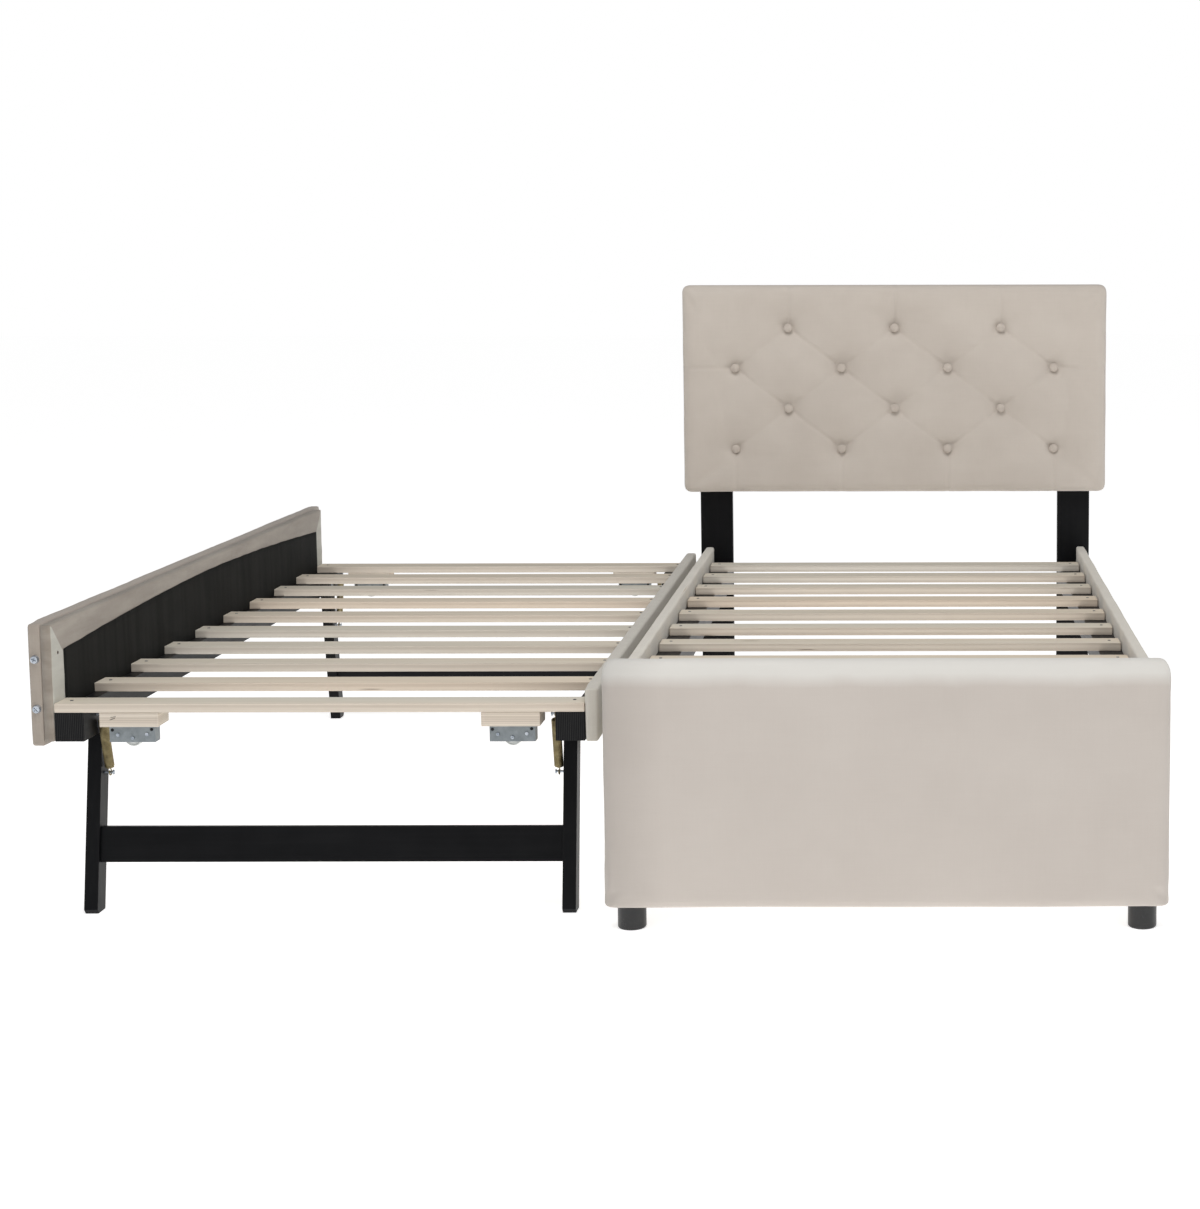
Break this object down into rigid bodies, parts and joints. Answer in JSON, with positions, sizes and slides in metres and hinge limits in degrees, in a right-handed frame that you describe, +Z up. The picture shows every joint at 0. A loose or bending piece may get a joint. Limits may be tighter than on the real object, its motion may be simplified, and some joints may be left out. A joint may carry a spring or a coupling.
{
  "type": "trundle bed",
  "caption": "Upholstered twin bed with tufted headboard and a slatted pop-up trundle on folding sprung legs and rollers, standing raised beside it.",
  "frame": {"origin": "on the floor, in the middle of the footprint of the main bed and the raised trundle together", "axes": "+X from the trundle towards the main bed, +Y from the footboard towards the headboard, +Z up"},
  "size_m": [2.143, 2.04, 1.152],
  "materials": {
    "frame_board": "plain plywood board, mostly covered",
    "headboard_fabric": "greige woven fabric over foam",
    "footboard_fabric": "greige woven fabric over foam",
    "rail_fabric": "grey-beige woven fabric on a board",
    "trundle_fabric": "taupe woven fabric on a board",
    "lining": "black non-woven dust cloth",
    "black_paint": "laminated timber painted satin black",
    "foot_black": "turned foot, satin black",
    "laminated_poplar": "bare laminated poplar, visible plies",
    "housing_steel": "grey coated pressed steel",
    "wheel_plastic": "pale nylon",
    "zinc": "zinc plated",
    "spring_steel": "yellow-passivated zinc plated wire"
  },
  "bodies": {
    "main_bed": {"headboard_board": "frame_board", "headboard_padding": "headboard_fabric", "headboard_buttons": "headboard_fabric", "headboard_leg_left": "black_paint", "headboard_leg_right": "black_paint", "footboard_board": "frame_board", "footboard_padding": "footboard_fabric", "footboard_feet": "foot_black", "side_rail_left": "frame_board", "side_rail_right": "frame_board", "side_rail_left_cover": "rail_fabric", "side_rail_right_cover": "rail_fabric", "ledger_left": "black_paint", "ledger_right": "black_paint", "main_slat_01": "laminated_poplar", "main_slat_02": "laminated_poplar", "main_slat_03": "laminated_poplar", "main_slat_04": "laminated_poplar", "main_slat_05": "laminated_poplar", "main_slat_06": "laminated_poplar", "main_slat_07": "laminated_poplar", "main_slat_08": "laminated_poplar", "main_slat_09": "laminated_poplar", "main_slat_10": "laminated_poplar"},
    "trundle": {"front_board": "frame_board", "front_frame": "frame_board", "front_cover": "trundle_fabric", "front_lining": "lining", "front_bolts": "zinc", "back_board": "frame_board", "back_cover": "trundle_fabric", "rail_left": "black_paint", "rail_right": "black_paint", "rail_end_blocks": "black_paint", "trundle_fasteners": "zinc", "caster_blocks": "laminated_poplar", "caster_housings": "housing_steel", "leg_springs": "spring_steel", "trundle_slat_01": "laminated_poplar", "trundle_slat_02": "laminated_poplar", "trundle_slat_03": "laminated_poplar", "trundle_slat_04": "laminated_poplar", "trundle_slat_05": "laminated_poplar", "trundle_slat_06": "laminated_poplar", "trundle_slat_07": "laminated_poplar", "trundle_slat_08": "laminated_poplar", "trundle_slat_09": "laminated_poplar", "trundle_slat_10": "laminated_poplar"},
    "foot_leg_frame": {"foot_leg_left": "black_paint", "foot_leg_right": "black_paint", "foot_crossbar": "black_paint", "foot_spring_pegs": "zinc"},
    "head_leg_frame": {"head_leg_left": "black_paint", "head_leg_right": "black_paint", "head_crossbar": "black_paint", "head_spring_pegs": "zinc"},
    "foot_roller_left": {"foot_wheel_left": "wheel_plastic"},
    "foot_roller_right": {"foot_wheel_right": "wheel_plastic"},
    "head_roller_left": {"head_wheel_left": "wheel_plastic"},
    "head_roller_right": {"head_wheel_right": "wheel_plastic"}
  },
  "joints": [
    {"name": "trundle_lower", "type": "slide", "parent": "main_bed", "child": "trundle", "axis": [0, 0, -1], "range_m": [0, 0.324]},
    {"name": "foot_leg_fold", "type": "hinge", "parent": "trundle", "child": "foot_leg_frame", "pos_m": [-0.538, -0.818, 0.365], "axis": [1, 0, 0], "range_deg": [0, 100], "stiffness_Nm_per_rad": 3, "springref_deg": -28.65, "deforming": ["leg_springs"]},
    {"name": "head_leg_fold", "type": "hinge", "parent": "trundle", "child": "head_leg_frame", "pos_m": [-0.538, 0.844, 0.365], "axis": [-1, 0, 0], "range_deg": [0, 100], "stiffness_Nm_per_rad": 3, "springref_deg": -28.65, "deforming": ["leg_springs"]},
    {"name": "foot_left_wheel_roll", "type": "hinge", "parent": "trundle", "child": "foot_roller_left", "pos_m": [-0.891, -0.905, 0.341], "axis": [0, 1, 0], "continuous": true},
    {"name": "foot_right_wheel_roll", "type": "hinge", "parent": "trundle", "child": "foot_roller_right", "pos_m": [-0.185, -0.905, 0.341], "axis": [0, 1, 0], "continuous": true},
    {"name": "head_left_wheel_roll", "type": "hinge", "parent": "trundle", "child": "head_roller_left", "pos_m": [-0.891, 0.931, 0.341], "axis": [0, 1, 0], "continuous": true},
    {"name": "head_right_wheel_roll", "type": "hinge", "parent": "trundle", "child": "head_roller_right", "pos_m": [-0.185, 0.931, 0.341], "axis": [0, 1, 0], "continuous": true}
  ]
}
